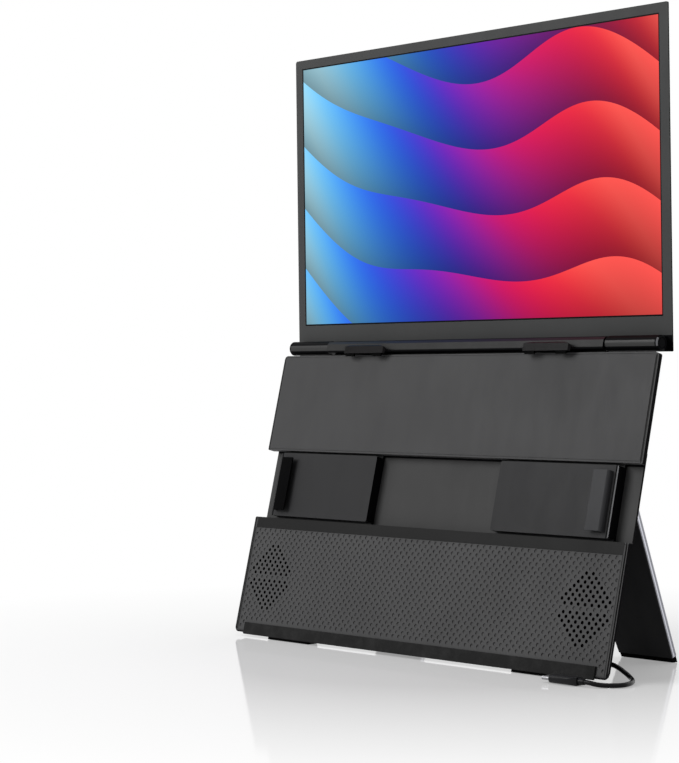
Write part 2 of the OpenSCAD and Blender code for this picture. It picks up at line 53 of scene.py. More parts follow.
DEPTH_SHIFT = 58.6
BASE_LEAN, SCREEN_LEAN = math.radians(13.7), math.radians(1)
BASE_X, BASE_TOP, BACK_T = 179.5, 211.2, 13
STRIP_LOW, SLOT_LOW, SLOT_HIGH = 80.7, 88.6, 139
BUMPER_X, BUMPER_TOP = 168.8, 10.4
HINGE_D, HINGE_V, SHAFT_R = 3, 217.5, 2
STAND_D, STAND_V, STAND_LEN = 14, 168, 171.5
STAND_T, PIN_R = 4.8, 1.5
GLASS_BACK, SCREEN_T = 9.5, 4.3
PICTURE_W, PICTURE_H, PICTURE_LOW = 344.2, 193.6, 17.2
ARM_OUT = 162.3
HOOK_X = 88
BARREL_SET = 2


def moved(x, y, z):
    """A shift by millimetres, as a matrix in metres."""
    return Matrix.Translation(Vector((x, y, z)) * MM)


FLOOR = moved(0, -DEPTH_SHIFT, 0)
BASE = FLOOR @ Matrix.Rotation(-BASE_LEAN, 4, "X")
SCREEN = BASE @ moved(0, HINGE_D, HINGE_V) @ Matrix.Rotation(BASE_LEAN + SCREEN_LEAN, 4, "X")
stand_hinge_z = STAND_V * math.cos(BASE_LEAN) - STAND_D * math.sin(BASE_LEAN)
STAND_OUT = math.acos(stand_hinge_z / STAND_LEN)
STAND = BASE @ moved(0, STAND_D, STAND_V) @ Matrix.Rotation(BASE_LEAN + STAND_OUT, 4, "X")

# ---------- camera, at the photograph's own angle ----------

PHOTO_W, PHOTO_H = 679, 763
FOCAL_PX = 2172.8
CENTRE_PX = (350.1, 344.3)
AZIMUTH, ELEVATION = math.radians(47.396), math.radians(-0.964)
CAMERA_AT = (1056.1, -1020.4 - DEPTH_SHIFT, 186.6)
SENSOR = 36

cam_data = bpy.data.cameras.new("camera")
cam = bpy.data.objects.new("camera", cam_data)
bpy.context.scene.collection.objects.link(cam)
cam.location = Vector(CAMERA_AT) * MM
forward = Vector((
    -math.sin(AZIMUTH) * math.cos(ELEVATION),
    math.cos(AZIMUTH) * math.cos(ELEVATION),
    -math.sin(ELEVATION),
))
cam.rotation_euler = forward.to_track_quat("-Z", "Y").to_euler()
cam_data.sensor_fit = "HORIZONTAL"
cam_data.sensor_width = SENSOR
cam_data.lens = FOCAL_PX / PHOTO_W * SENSOR
cam_data.shift_x = -(CENTRE_PX[0] - PHOTO_W / 2) / PHOTO_W
cam_data.shift_y = (CENTRE_PX[1] - PHOTO_H / 2) / PHOTO_W
cam_data.clip_start = 0.01
cam_data.clip_end = 50
bpy.context.scene.camera = cam

# ---------- materials ----------


# sockets of a Mix node for its two colours, and its output for their mix
MIX_FIRST, MIX_SECOND, MIX_RESULT = 6, 7, 2


def scaled(colour, factor):
    """A lighter or darker shade of a colour."""
    return [c * factor for c in colour]


class Tree:
    """A node tree under construction. Values pass between its methods as output sockets."""

    def __init__(self, tree):
        self.tree = tree
        tree.nodes.clear()

    def add(self, kind, inputs=None, **settings):
        """Adds a node, sets it up and feeds its inputs."""
        node = self.tree.nodes.new("ShaderNode" + kind)
        for key, value in settings.items():
            setattr(node, key, value)
        for into, value in (inputs or {}).items():
            self.feed(node, into, value)
        return node

    def feed(self, node, into, value):
        """Links an input to an output socket, or sets it to a number or colour."""
        socket = node.inputs[into]
        if isinstance(value, bpy.types.NodeSocket):
            self.tree.links.new(value, socket)
        else:
            socket.default_value = (*value, 1) if socket.type == "RGBA" else value

    def calc(self, operation, *values):
        """The result of a Math node."""
        return self.add("Math", dict(enumerate(values)), operation=operation).outputs[0]

    def plus(self, start, value, factor):
        """start + value * factor."""
        return self.calc("ADD", start, self.calc("MULTIPLY", value, factor))

    def spread(self, value, low, high, start=0.3, end=0.7):
        """Maps the range from start to end, where most of a noise lies, to low to high."""
        ends = {"From Min": start, "From Max": end, "To Min": low, "To Max": high}
        return self.add("MapRange", {"Value": value, **ends}).outputs[0]

    def blend(self, amount, first, second, kind="MIX"):
        """Mixes two colours."""
        mix = self.add("Mix", {0: amount}, data_type="RGBA", blend_type=kind)
        self.feed(mix, MIX_FIRST, first)
        self.feed(mix, MIX_SECOND, second)
        return mix.outputs[MIX_RESULT]

    def rays(self, first, *others):
        """1 for the named kinds of ray, and 0 for all others."""
        kinds = self.add("LightPath").outputs
        value = kinds[first]
        for kind in others:
            value = self.calc("MAXIMUM", value, kinds[kind])
        return value


class Finish(Tree):
    """A material under construction, with one Principled shader."""

    def __init__(self, name):
        self.mat = bpy.data.materials.new(name)
        self.mat.use_nodes = True
        super().__init__(self.mat.node_tree)
        self.shader = self.add("BsdfPrincipled")
        self.out = self.add("OutputMaterial", {0: self.shader.outputs[0]})
        self.place = self.add("TexCoord").outputs["Object"]

    def noise(self, size, detail=3, rough=0.5, stretch=None):
        """Noise whose patches are about `size` mm across."""
        place = self.place
        if stretch:
            place = self.add("Mapping", {"Scale": stretch, "Vector": place}).outputs["Vector"]
        look = {"Scale": 1 / (size * MM), "Detail": detail, "Roughness": rough}
        return self.add("TexNoise", {**look, "Vector": place}).outputs["Fac"]

    def bump(self, height, depth):
        """The normal of a surface that a texture raises by up to `depth` mm."""
        look = {"Strength": 1.0, "Distance": depth * MM, "Height": height}
        return self.add("Bump", look).outputs["Normal"]

    def done(self, inputs):
        """Feeds the shader and gives the material."""
        for into, value in inputs.items():
            self.feed(self.shader, into, value)
        return self.mat


def moulded(name, colour, rough=0.5, grain=0.4, depth=0.03, spec=0.12):
    """Moulded plastic: fine spark grain, slow drift of tint, uneven gloss from handling."""
    f = Finish(name)
    slow = f.noise(60, 4)
    fine = f.noise(grain, 2, 0.6)
    smear = f.noise(18, 5, 0.65, (1, 1, 0.35))
    tint = f.blend(f.spread(slow, 0, 1), scaled(colour, 0.92), scaled(colour, 1.08))
    return f.done({
        "Base Color": f.blend(f.spread(fine, 0, 0.12), tint, (0.3, 0.3, 0.3), "MULTIPLY"),
        "Roughness": f.spread(smear, rough - 0.08, rough + 0.08),
        "Normal": f.bump(fine, depth),
        "Specular IOR Level": spec,
    })


def rubbery(name, colour, dust_level=0.004, spec=0.1, sheen=0.02):
    """Soft rubber: pitted, dusty in patches, with a faint sheen."""
    f = Finish(name)
    pits = f.noise(0.9, 4, 0.7)
    dust = f.noise(12, 6, 0.7)
    dusty = [c * 2.4 + dust_level for c in colour]
    return f.done({
        "Base Color": f.blend(f.spread(dust, 0, 0.6, 0.45, 0.75), colour, dusty),
        "Roughness": f.spread(pits, 0.7, 0.9),
        "Normal": f.bump(pits, 0.08),
        "Specular IOR Level": spec,
        "Sheen Weight": sheen,
    })


def turned(name, colour, rough=0.3, stretch=(4, 60, 60)):
    """Metal with the fine lines of turning or drawing."""
    f = Finish(name)
    lines = f.noise(4, 3, 0.6, stretch)
    stain = f.noise(10, 4)
    return f.done({
        "Base Color": f.blend(f.spread(lines, 0, 1), scaled(colour, 0.8), colour),
        "Roughness": f.spread(stain, rough - 0.08, rough + 0.1),
        "Normal": f.bump(lines, 0.01),
        "Metallic": 1.0,
    })


def lacquered(name, colour):
    """Silver-grey lacquer with fine metal flake, under a clear coat."""
    f = Finish(name)
    flake = f.add("TexVoronoi", {"Scale": 1 / (0.35 * MM), "Vector": f.place}).outputs["Distance"]
    return f.done({
        "Base Color": f.blend(f.spread(f.noise(50, 4), 0, 1), scaled(colour, 0.92), colour),
        "Roughness": f.spread(flake, 0.26, 0.42, 0, 0.6),
        "Normal": f.bump(flake, 0.006),
        "Metallic": 0.75,
        "Coat Weight": 0.3,
        "Coat Roughness": 0.12,
    })


def woven(name, colour):
    """Thin acoustic cloth: a plain weave of round threads."""
    f = Finish(name)
    threads = [f.add("TexWave", {"Scale": 1 / (4 * MM), "Vector": f.place},
                     bands_direction=axis, wave_profile="SIN").outputs["Fac"] for axis in "XZ"]
    cross = f.calc("MULTIPLY", *threads)
    return f.done({
        "Base Color": f.blend(cross, scaled(colour, 0.4), colour),
        "Normal": f.bump(cross, 0.1),
        "Roughness": 0.95,
        "Specular IOR Level": 0.1,
    })


def circuit(name):
    """Green solder mask over paler tracks."""
    f = Finish(name)
    tracks = f.add("TexBrick", {
        "Scale": 160,
        "Color1": (0.006, 0.060, 0.022),
        "Color2": (0.010, 0.085, 0.032),
        "Mortar": (0.020, 0.130, 0.055),
        "Mortar Size": 0.03,
        "Vector": f.place,
    }).outputs
    return f.done({
        "Base Color": tracks["Color"],
        "Normal": f.bump(tracks["Fac"], 0.05),
        "Roughness": 0.3,
    })


def jacket(name, colour):
    """Smooth cable jacket with fine scuffs."""
    f = Finish(name)
    scuff = f.noise(4, 5, 0.7)
    return f.done({
        "Base Color": f.blend(f.spread(scuff, 0, 1), colour, scaled(colour, 1.8)),
        "Roughness": f.spread(scuff, 0.20, 0.34),
        "Normal": f.bump(f.noise(1.2, 3), 0.02),
        "Specular IOR Level": 0.10,
    })


# The lit picture is made of layers that repeat upwards. A long swing and a short ripple bend
# them, and they climb to one side.
LAYERS, LAYER_CLIMB = 4, 0.55
SWING_TURN, SWING_HEIGHT = 5.2, 0.16
RIPPLE_TURN, RIPPLE_RISE, RIPPLE_HEIGHT = 11, 2, 0.05
# how far the place in a layer and the height in the picture shift its colour along the ramp
LAYER_SHIFT, HEIGHT_SHIFT = 0.20, -0.12
LAYER_SHADE = (0.35, 1.05)
PICTURE_COLOURS = (
    (0.00, (0.55, 0.90, 1.00)), (0.14, (0.14, 0.62, 1.00)), (0.30, (0.01, 0.16, 0.90)),
    (0.46, (0.03, 0.02, 0.62)), (0.60, (0.26, 0.01, 0.42)), (0.74, (0.62, 0.00, 0.10)),
    (0.90, (0.86, 0.01, 0.03)), (1.00, (0.98, 0.10, 0.08)),
)
# how far the black border reaches over the picture area
BORDER, BORDER_LOW = 0.9, 1.1


def lit_display(name):
    """A lit picture of plain layered waves, from pale blue through violet to red."""
    f = Finish(name)
    x, _, z = f.add("SeparateXYZ", {0: f.place}).outputs
    across = f.calc("ADD", f.calc("DIVIDE", x, PICTURE_W * MM), 0.5)
    up = f.calc("DIVIDE", f.calc("SUBTRACT", z, PICTURE_LOW * MM), PICTURE_H * MM)
    swing = f.calc("SINE", f.calc("MULTIPLY", across, SWING_TURN))
    ripple = f.calc("SINE", f.plus(f.calc("MULTIPLY", across, RIPPLE_TURN), up, RIPPLE_RISE))
    height = f.plus(f.plus(up, swing, SWING_HEIGHT), ripple, RIPPLE_HEIGHT)
    layer = f.calc("FRACT", f.calc("MULTIPLY", f.plus(height, across, LAYER_CLIMB), LAYERS))
    along = f.plus(f.plus(across, layer, LAYER_SHIFT), up, HEIGHT_SHIFT)
    ramp = f.add("ValToRGB", {0: along})
    band = ramp.color_ramp
    band.interpolation = "B_SPLINE"
    while len(band.elements) < len(PICTURE_COLOURS):
        band.elements.new(0.5)
    for element, (where, colour) in zip(band.elements, PICTURE_COLOURS):
        element.position = where
        element.color = (*colour, 1)
    # a layer is bright at its crest and falls off below
    tone = f.blend(1.0, ramp.outputs["Color"], f.spread(layer, *LAYER_SHADE, 0, 1), "MULTIPLY")
    side = f.calc("GREATER_THAN", f.calc("ABSOLUTE", x), (PICTURE_W / 2 - BORDER) * MM)
    top = f.calc("GREATER_THAN", z, (PICTURE_LOW + PICTURE_H - BORDER) * MM)
    foot = f.calc("LESS_THAN", z, (PICTURE_LOW + BORDER_LOW) * MM)
    border = f.calc("MAXIMUM", f.calc("MAXIMUM", side, top), foot)
    grain = f.noise(0.3, 2)
    return f.done({
        "Emission Color": f.blend(border, tone, (0, 0, 0)),
        "Emission Strength": 1.0,
        "Base Color": (0.004, 0.004, 0.005),
        "Roughness": f.spread(grain, 0.30, 0.38),
        "Normal": f.bump(grain, 0.004),
        "Specular IOR Level": 0.03,
    })


# mouldings: colour, roughness, and the size and depth of their grain in millimetres
COVER = moulded("cover_grey", (0.054, 0.054, 0.055), 0.52, 0.5, 0.03)
FIELD_GREY = moulded("field_grey", (0.064, 0.064, 0.065), 0.50, 0.4, 0.04)
REAR = moulded("rear_grey", (0.040, 0.040, 0.043), 0.50, 0.7, 0.05)
CHANNEL = moulded("channel_grey", (0.046, 0.046, 0.046), 0.5, 0.5, 0.03)
TRIM = moulded("strip_black", (0.010, 0.010, 0.010), 0.40, 0.4, 0.008, spec=0.08)
BEZEL = moulded("bezel_grey", (0.050, 0.051, 0.051), 0.5, 0.4, 0.02)
RAIL = moulded("rail_grey", (0.016, 0.016, 0.016), 0.42, 0.4, 0.02)
# the rail's top, painted dark as shade
RAIL_TOP_SHADE = moulded("rail_top_painted_shade", (0.006, 0.006, 0.008), 0.36, 0.4, 0.01)
HOOK = moulded("hook_black", (0.0035, 0.003, 0.0035), 0.34, 0.4, 0.02, spec=0.06)
# a hinge barrel's grey band, painted as the light falling on its front
BARREL_LIT_BAND = moulded("barrel_painted_lit_band", (0.040, 0.040, 0.040), 0.34, 0.4, 0.01)
# a pale arc painted as a highlight on the caps' rims
CAP_HIGHLIGHT = moulded("cap_painted_highlight", (0.15, 0.15, 0.16), 0.35, 0.4, 0.01, spec=0.3)
# black painted as shade where the light misses: undersides, ends and sides, and above and below
# the barrels' band
SHADE_BLACK = moulded("satin_painted_shade_black", (0.0025, 0.0025, 0.003), 0.5, 0.4, 0.01, spec=0.03)
JAW = moulded("jaw_grey", (0.036, 0.0365, 0.039), 0.42, 0.4, 0.02)
# the left jaw, painted near black as shade; the right jaw is grey
JAW_SHADE = moulded("jaw_painted_shade", (0.001, 0.001, 0.0012), 0.30, 0.4, 0.01, spec=0.015)
SLIDER = moulded("slider_grey", (0.020, 0.020, 0.021), 0.45, 0.4, 0.02)
# a pale edge painted as a highlight along the right arm's outer front edge
SLIDER_EDGE_HIGHLIGHT = moulded("slider_edge_painted_highlight", (0.085, 0.085, 0.09), 0.4, 0.4, 0.01, spec=0.3)
LINER = moulded("liner_black", (0.020, 0.020, 0.0215), 0.55, 0.9, 0.06)
SPEAKER = moulded("speaker_black", (0.010, 0.010, 0.010), 0.5)
PLUG = moulded("plug_black", (0.010, 0.010, 0.011), 0.36, 0.5, 0.02)
# the sides of the front covers, painted black as shade, and the fine lines and hollows in their
# faces, painted as shade and highlight
SIDE_SHADE = moulded("side_painted_shade", (0.0025, 0.0025, 0.003), 0.6, 0.5, 0.02, spec=0.03)
# a pale painted highlight round the front corner of the upper cover's sides, and a line of
# painted shade down their front edges
COVER_EDGE_HIGHLIGHT = moulded("cover_edge_painted_highlight", (0.16, 0.16, 0.16), 0.5, 0.5, 0.02, spec=0.1)
EDGE_LINE_SHADE = moulded("edge_line_painted_shade", (0.018, 0.018, 0.018), 0.6, 0.5, 0.02, spec=0.05)
# mid and dark stripes of painted shade down the edges of the front covers
LINE_MID_SHADE = moulded("line_mid_painted_shade", (0.040, 0.040, 0.040), 0.6, 0.5, 0.02, spec=0.05)
LINE_DARK_SHADE = moulded("line_dark_painted_shade", (0.006, 0.006, 0.006), 0.6, 0.5, 0.02, spec=0.03)
# a line of painted shade inside the right edge of the lower cover's field
GROOVE_SHADE = moulded("groove_painted_shade", (0.024, 0.024, 0.024), 0.6, 0.5, 0.02, spec=0.05)
# the dimples' steep walls, darker as painted shade in the hollows
DISH_WALL_SHADE = moulded("dish_wall_painted_shade", (0.030, 0.030, 0.030), 0.6, 0.5, 0.02, spec=0.05)

RUBBER = rubbery("rubber_black", (0.012, 0.012, 0.012))
FOOT = rubbery("foot_black", (0.0015, 0.0015, 0.0015), dust_level=0.001, spec=0.02, sheen=0.0)
LACQUER = lacquered("stand_lacquer", (0.30, 0.305, 0.345))
# a pale line painted as a reflection along the stand's edge
LACQUER_HIGHLIGHT = lacquered("stand_lacquer_painted_highlight", (0.80, 0.81, 0.88))
CLOTH = woven("cloth_black", (0.006, 0.006, 0.006))
BOARD = circuit("board_green")
CABLE = jacket("cable_black", (0.0025, 0.0025, 0.003))
STEEL = turned("steel", (0.58, 0.58, 0.60))
PLATED = turned("plated_steel", (0.30, 0.30, 0.31), 0.45, (20, 4, 20))
DISPLAY = lit_display("display_face")

# ---------- making and dressing pieces ----------

BODY_OF = {n: body for body, names in record["behaviour"]["bodies"].items() for n in names}

# points closer than this are one, and faces that turn by less than this are one
SAME_POINT, SAME_FACE = 0.0005, math.radians(0.5)
# edges that turn by more than these are rounded, and shaded as sharp
ROUND_FROM, SHARP_FROM = math.radians(32), math.radians(38)
# a face looks straight, mostly or partly along an axis from these parts of its normal on
STRAIGHT, MOSTLY, PARTLY = 0.9, 0.6, 0.3


def piece(name, data, place, node, mats):
    """Adds an object that rides with a node's body, in the node's stead, and hides the node."""
    obj = bpy.data.objects.new(name, data)
    bpy.context.scene.collection.objects.link(obj)
    obj.matrix_world = place
    for m in mats:
        data.materials.append(m)
    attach(obj, BODY_OF[node])
    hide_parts(node)
    return obj


def solid_of(node, place, join_faces=True):
    """A node's solid as an editable mesh, in millimetres of the given frame."""
    bm = bmesh.new()
    bm.from_mesh(nodes[node].data)
    bm.transform(Matrix.Scale(1 / MM, 4) @ place.inverted() @ nodes[node].matrix_world)
    bmesh.ops.remove_doubles(bm, verts=bm.verts, dist=SAME_POINT)
    if join_faces:
        bmesh.ops.dissolve_limit(bm, angle_limit=SAME_FACE, verts=bm.verts, edges=bm.edges)
    return bm


def split(bm, axis, values):
    """Adds edges to the mesh where it meets the planes at the given values of an axis."""
    for value in values:
        where, way = [0, 0, 0], [0, 0, 0]
        where[axis], way[axis] = value, 1
        every_part = bm.verts[:] + bm.edges[:] + bm.faces[:]
        bmesh.ops.bisect_plane(bm, geom=every_part, plane_co=where, plane_no=way)


def round_edges(bm, width, pick):
    """Rounds the sharp edges, or those of them that `pick` takes by their middle point."""
    sharp = []
    for e in bm.edges:
        if len(e.link_faces) != 2 or e.calc_face_angle(0) < ROUND_FROM:
            continue
        middle = (e.verts[0].co + e.verts[1].co) / 2
        if pick is None or pick(middle):
            sharp.append(e)
    bmesh.ops.bevel(bm, geom=sharp, offset=width, segments=2, profile=0.5,
                    affect="EDGES", clamp_overlap=True)


def mark_sharp(bm):
    """Keeps the shading from running smoothly over sharp and open edges."""
    for e in bm.edges:
        e.smooth = len(e.link_faces) == 2 and e.calc_face_angle(0) < SHARP_FROM


def stored(bm, name):
    """Turns the editable mesh to metres and to a mesh of Blender's own."""
    bm.transform(Matrix.Scale(MM, 4))
    mesh = bpy.data.meshes.new(name)
    bm.to_mesh(mesh)
    bm.free()
    return mesh


def dress(node, mats, width, place=BASE, pick=None, paint=None, cuts=(), shape=None):
    """Replaces a node by its own solid, with rounded edges and a finish for each face.

    `shape` moves a point, `cuts` are planes to split at, as pairs of an axis and its values,
    `pick` takes the edges to round by their middle, and `paint` gives the finish of a face
    from its centre and normal. Without paint, the first of `mats` covers all.
    """
    bm = solid_of(node, place)
    if shape:
        for v in bm.verts:
            v.co = shape(v.co)
    bm.normal_update()
    for axis, values in cuts:
        split(bm, axis, values)
    if width:
        round_edges(bm, width, pick)
    bm.normal_update()
    mark_sharp(bm)
    for f in bm.faces:
        f.smooth = True
        if paint:
            f.material_index = mats.index(paint(f.calc_center_median(), f.normal))
    name = node + "_rounded"
    obj = piece(name, stored(bm, name), place, node, mats)
    obj.modifiers.new("even_normals", "WEIGHTED_NORMAL").keep_sharp = True
    return obj


# ---------- the lead ----------

LEAD_D = 3
# in room coordinates before the origin is moved, from inside the base to the plug
ROUTE = [
    (164, 19.8, 9.6), (166, 19.8, 9.6), (169, 20, 8.9), (172, 20.5, 7.6),
    (175, 20.9, 5.9), (178, 21.1, 4.2), (181, 20.3, 2.8), (184, 18.3, 2),
    (187, 15.2, 1.7), (189.6, 11.4, 1.6), (191.8, 7.2, 1.6), (193.2, 3, 1.6),
    (193.8, -1, 1.6), (193, -4.8, 1.6), (191, -8, 1.6), (188.4, -10.6, 1.6),
    (185.4, -12.8, 1.75), (182.2, -14.8, 2.2), (179.4, -15.7, 2.7), (177, -16, 2.9),
    (175.5, -16, 2.9),
]
route = [FLOOR @ (Vector(p) * MM) for p in ROUTE]
lead_curve = bpy.data.curves.new("lead_jacket", "CURVE")
lead_curve.dimensions = "3D"
lead_curve.bevel_depth = LEAD_D / 2 * MM
lead_curve.bevel_resolution = 6
lead_curve.resolution_u = 6
lead_curve.use_fill_caps = True
spline = lead_curve.splines.new("BEZIER")
spline.bezier_points.add(len(route) - 1)
for point, where in zip(spline.bezier_points, route):
    point.co = where
    point.handle_left_type = "AUTO"
    point.handle_right_type = "AUTO"
lead = piece("lead_jacket", lead_curve, Matrix(), "lead", [CABLE])

boot = dress("plug_boot", [CABLE], 0.25, FLOOR)
plug = dress("plug_body", [PLUG], 0.3, FLOOR)
relief = dress("lead_relief", [CABLE], 0.2, FLOOR)

# ---------- grille cover with its dimples and sound holes ----------

SOUND_X, SOUND_V, SOUND_ROWS = 151.5, 44.9, 8
STEP = 2.84
HOLE_R, DIMPLE_R = 1.2, 1.25
# a sound hole has this many sides in the solid, and a dimple here
HOLE_SIDES, DISH_SIDES = 42, 16
# radius and depth of the rings inside a dimple
DISH = ((1.18, 0.42), (1.0, 0.52))
# depth, half-width and height of the flat field that carries the pattern
FIELD_D, FIELD_X, FIELD_LOW, FIELD_HIGH = 0.3, BASE_X - 2.2, 5, STRIP_LOW
# rows from the middle of the diamonds, and columns inwards and outwards from the right one's
ROWS = range(-14, 14)
COLUMNS, OUTER_COLUMNS = 53, 9
# half-width in columns of the two rows next to a diamond's plain middle row
WAIST = 6
# width between the pattern and whatever bounds it
MARGIN = DIMPLE_R + 0.1
# half-widths between which the field and the rims of the lower cover change their colour, in
# lines of painted shade
GROOVE = (175.5, 176.1)
GROOVE_INSET = 0.1
RIM_LINES = (177.4, 178.3, 179.15)
# lower corners: their radius is kept all the way back along the sides, which slant behind a lip
CORNER_R, CORNER_V, SIDE_SLANT = 4, 7, 3.6 / 3.8
LIP, LIP_NEAR = 1.2, 0.02
CORNER_CUTS = (172.6, 173.4, 174.1, 174.7, 175.2, 176.2, 176.8)
# the line of painted shade along the bottom: its height, and its distance from the corners'
# centres
BOTTOM_LINE, ARC_DARK = 3.9, 3.3
# edges shorter than this collapse once the corners are rounded
SHORTEST = 0.002
# a face of the field faces straight forward, at the field's own depth
FIELD_FLAT, FIELD_NEAR = 0.99, 0.01
# a dimple's wall faces forward by less than this
WALL_SLOPE = 0.5
# points this close become one when the sheet is divided into triangles
SHEET_MERGE = 1e-5
# side of the squares in which nearby holes are looked up
CELL = 4


def is_hole(k, row):
    """Whether place k of a row belongs to the pierced diamond."""
    up = abs(row)
    if up < 1 or up > SOUND_ROWS:
        return False
    reach = WAIST if up == 1 else SOUND_ROWS + 1 - up
    return abs(k) <= reach


def column_x(k):
    """Place of a column: evenly spaced in the grille, and shared out from there to the middle."""
    if k >= -SOUND_ROWS:
        return SOUND_X + k * STEP
    return (SOUND_X - SOUND_ROWS * STEP) * (COLUMNS + k) / (COLUMNS - SOUND_ROWS)


def field_spots():
    """Centres of the sound holes and of the dimples, on both sides."""
    holes, dimples = [], []
    for row in ROWS:
        v = SOUND_V + row * STEP
        if not FIELD_LOW + MARGIN < v < FIELD_HIGH - MARGIN:
            continue
        for k in range(-COLUMNS, OUTER_COLUMNS + 1):
            x = column_x(k)
            behind_bumper = v < BUMPER_TOP + MARGIN and x < BUMPER_X + MARGIN
            if (k + row) % 2 == 0 or x > FIELD_X - MARGIN or behind_bumper:
                continue
            target = holes if is_hole(k, row) else dimples
            sides = (1,) if k == -COLUMNS else (1, -1)
            target.extend((side * x, v) for side in sides)
    return holes, dimples


def ring(x, v, d, r, count):
    """Points of a circle that lies flat at depth d."""
    turns = [2 * math.pi * i / count for i in range(count)]
    return [Vector((x + r * math.cos(a), d, v + r * math.sin(a))) for a in turns]


def spot_test(holes, dimples):
    """Makes a test of whether a point of the field lies in a sound hole or a dimple."""
    cells = {}
    for spots, r, count in ((holes, HOLE_R, HOLE_SIDES), (dimples, DIMPLE_R, DISH_SIDES)):
        to_side = r * math.cos(math.pi / count)
        for x, v in spots:
            cell = cells.setdefault((round(x / CELL), round(v / CELL)), [])
            cell.append((x, v, to_side))

    def in_spot(p):
        for i in (-1, 0, 1):
            for j in (-1, 0, 1):
                for x, v, reach in cells.get((round(p.x / CELL) + i, round(p.y / CELL) + j), ()):
                    if math.hypot(p.x - x, p.y - v) < reach:
                        return True
        return False

    return in_spot


def keep_corners_round(bm):
    """Lifts the points of the slanted sides that the lower corners' radius cuts away."""
    for v in bm.verts:
        x, d, z = v.co
        over = abs(x) - (BASE_X - (d - LIP) * SIDE_SLANT - CORNER_R)
        if d > LIP + LIP_NEAR and over > 0 and z < CORNER_V:
            v.co.z = max(z, CORNER_V - math.sqrt(max(0, CORNER_R ** 2 - over ** 2)))
    bmesh.ops.dissolve_degenerate(bm, dist=SHORTEST, edges=bm.edges)


def in_field(face):
    """Whether a face belongs to the flat field of the solid."""
    c = face.calc_center_median()
    flat = face.normal.y < -FIELD_FLAT and abs(c.y - FIELD_D) < FIELD_NEAR
    return flat and abs(c.x) < FIELD_X and FIELD_LOW < c.z < FIELD_HIGH


def turn_forward(faces):
    """Makes new faces look out of the front."""
    for f in faces:
        f.normal_update()
        if f.normal.y > 0:
            f.normal_flip()


def grille_cover():
    """The lower cover, its flat sheet and its dishes, with the field made anew around them."""
    bm = solid_of("lower_grille_cover", BASE, join_faces=False)
    split(bm, 0, [side * x for side in (1, -1) for x in CORNER_CUTS + RIM_LINES])
    split(bm, 2, (BOTTOM_LINE,))
    keep_corners_round(bm)
    bm.normal_update()
    field = [f for f in bm.faces if in_field(f)]
    bmesh.ops.delete(bm, geom=field, context="FACES")
    rim = [e for e in bm.edges if len(e.link_faces) == 1]
    verts = list(dict.fromkeys(v for e in rim for v in e.verts))
    index = {v: i for i, v in enumerate(verts)}
    edges = [tuple(index[v] for v in e.verts) for e in rim]

    def add_loop(points):
        """Adds a closed line of new points, which the sheet's triangles keep to."""
        loop = [bm.verts.new(p) for p in points]
        first, count = len(verts), len(loop)
        verts.extend(loop)
        edges.extend((first + i, first + (i + 1) % count) for i in range(count))
        return loop

    holes, dimples = field_spots()
    outlines = [add_loop(ring(x, v, FIELD_D, DIMPLE_R, DISH_SIDES)) for x, v in dimples]
    for reach in GROOVE:
        inset = GROOVE_INSET * (FIELD_X - reach)
        low, high = FIELD_LOW + inset, FIELD_HIGH - inset
        corners = ((-reach, low), (reach, low), (reach, high), (-reach, high))
        add_loop((x, FIELD_D, v) for x, v in corners)

    flat = [Vector((p.co.x, p.co.z)) for p in verts]
    places, _, triangles, origins, _, _ = delaunay_2d_cdt(flat, edges, [], 1, SHEET_MERGE)
    in_spot = spot_test(holes, dimples)
    sheet = []
    for triangle in triangles:
        centre = sum((places[i] for i in triangle), Vector((0, 0))) / len(triangle)
        if not in_spot(centre):
            sheet.append(bm.faces.new([verts[origins[i][0]] for i in triangle]))
    turn_forward(sheet)

    dishes = []
    for (x, v), outline in zip(dimples, outlines):
        rings = [outline]
        for r, depth in DISH:
            rings.append([bm.verts.new(p) for p in ring(x, v, FIELD_D + depth, r, DISH_SIDES)])
        for a, b in zip(rings, rings[1:]):
            for i in range(DISH_SIDES):
                j = (i + 1) % DISH_SIDES
                dishes.append(bm.faces.new((a[i], b[i], b[j], a[j])))
        dishes.append(bm.faces.new(rings[-1]))
    turn_forward(dishes)
    return bm, set(sheet), set(dishes)


def on_lower_edge(c):
    """Whether a point of the front lies in the line of painted shade along the bottom and its
    corners.
    """
    beyond = abs(c.x) - (BASE_X - CORNER_R)
    in_corner = beyond > 0 and c.z < CORNER_V
    return c.z < BOTTOM_LINE or (in_corner and math.hypot(beyond, c.z - CORNER_V) > ARC_DARK)


def side_paint(centre, normal):
    """Grey front and back faces, and the sides painted black as shade."""
    return SIDE_SHADE if abs(normal.x) > MOSTLY else COVER


def cover_paint(centre, normal):
    """The lower cover outside its field: its underside and a line along its bottom painted black
    as shade, and fine lines of painted shade down its rims, darker on the right.
    """
    front = normal.y < -STRAIGHT and centre.y < FIELD_D
    if normal.z < -MOSTLY or (front and on_lower_edge(centre)):
        return SIDE_SHADE
    if not front or abs(centre.x) <= RIM_LINES[0]:
        return side_paint(centre, normal)
    if centre.x < 0:
        return LINE_MID_SHADE
    return LINE_DARK_SHADE if centre.x < RIM_LINES[1] else COVER if centre.x < RIM_LINES[2] else SIDE_SHADE


def sheet_paint(centre):
    """The flat field, with its edges in the cover's grey and a line of painted shade inside the
    right one.
    """
    if GROOVE[0] < centre.x < GROOVE[1]:
        return GROOVE_SHADE
    return COVER if abs(centre.x) > GROOVE[0] else FIELD_GREY


